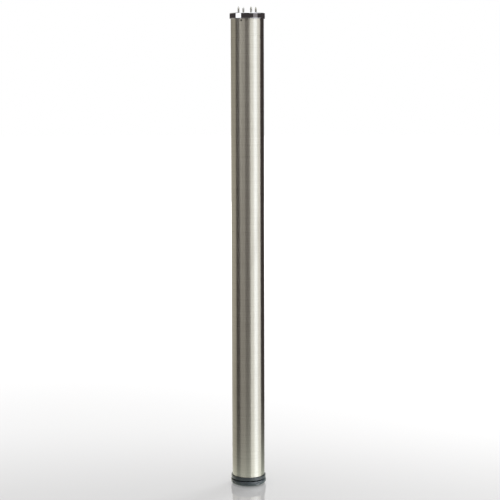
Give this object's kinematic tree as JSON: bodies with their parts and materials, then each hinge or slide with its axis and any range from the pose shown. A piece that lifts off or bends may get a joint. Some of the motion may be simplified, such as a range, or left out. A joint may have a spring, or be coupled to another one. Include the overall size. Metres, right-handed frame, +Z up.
{
  "type": "adjustable table leg",
  "caption": "Round brushed steel table leg with a chrome mounting plate on top and a black screw-in leveling foot underneath.",
  "frame": {"origin": "on the floor under the leg's axis, at the middle of the foot's underside", "axes": "+Z up along the leg, from the foot to the mounting plate; the front of the leg faces -Y, and the key hole is 21 degrees from it towards -X"},
  "size_m": [0.0652, 0.0652, 0.882],
  "materials": {
    "brushed_steel": "brushed round the tube, warm nickel tone",
    "chrome": "polished chrome plate on a zinc die casting",
    "zinc_plate": "bright zinc plate on steel",
    "black_oxide": "black oxide on steel",
    "black_plastic": "moulded nylon, fine satin texture",
    "pad_rubber": "matte"
  },
  "bodies": {
    "pad": {"foot_pad": "pad_rubber"},
    "foot": {"foot_disc": "black_plastic", "foot_stem": "zinc_plate"},
    "leg": {"leg_tube": "brushed_steel", "end_plug": "black_plastic", "plug_nut": "zinc_plate"},
    "plate": {"mounting_plate": "chrome", "plate_screw_1": "zinc_plate", "plate_screw_2": "zinc_plate", "plate_screw_3": "zinc_plate", "plate_screw_4": "zinc_plate"},
    "clamp": {"set_screw": "black_oxide"}
  },
  "joints": [
    {"name": "leg_raise", "type": "slide", "parent": "pad", "child": "leg", "axis": [0, 0, 1], "range_m": [-0.0012, 0.02]},
    {"name": "foot_turn", "type": "hinge", "parent": "pad", "child": "foot", "pos_m": [0, 0, 0], "axis": [0, 0, -1], "range_deg": [-290, 4802]},
    {"name": "plate_release", "type": "slide", "parent": "leg", "child": "plate", "axis": [0, 0, 1], "range_m": [0, 0.03]},
    {"name": "set_screw_travel", "type": "slide", "parent": "plate", "child": "clamp", "axis": [-0.3584, -0.9336, 0], "range_m": [-0.0015, 0]}
  ],
  "couplings": [
    {"joint": "foot_turn", "follows": "leg_raise", "rad_per_m": 4188.8}
  ]
}
